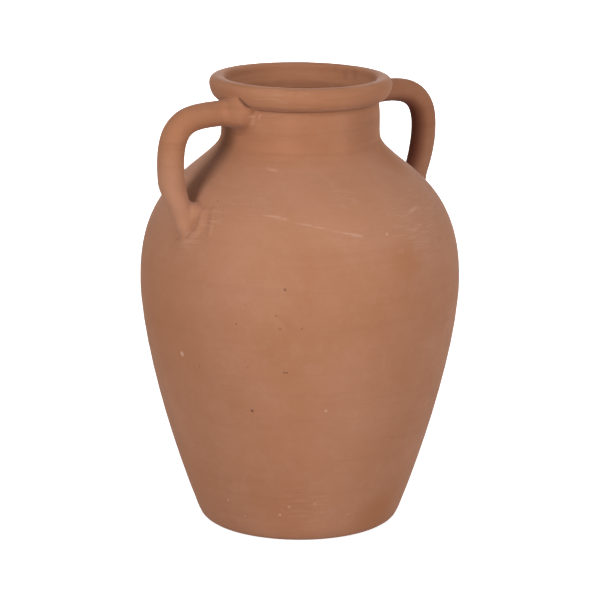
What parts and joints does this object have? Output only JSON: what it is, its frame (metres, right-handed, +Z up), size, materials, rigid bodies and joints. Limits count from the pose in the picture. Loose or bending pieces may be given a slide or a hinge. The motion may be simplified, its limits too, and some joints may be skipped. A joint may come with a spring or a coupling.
{
  "type": "vase",
  "caption": "Unglazed terracotta vase with a full rounded body, short neck, rolled rim and pulled side handles, for flowers or display.",
  "frame": {"origin": "centre of the flat foot, on the surface the vase stands on", "axes": "+Z up along the throwing axis, +X through the right handle, so the handles lie along X"},
  "size_m": [0.2334, 0.225, 0.3174],
  "materials": {
    "terracotta": "matte, unglazed, fired red earthenware with turning marks"
  },
  "bodies": {
    "root": {"vase_body": "terracotta", "rim_roll": "terracotta", "handle_left": "terracotta", "handle_right": "terracotta"}
  },
  "joints": []
}
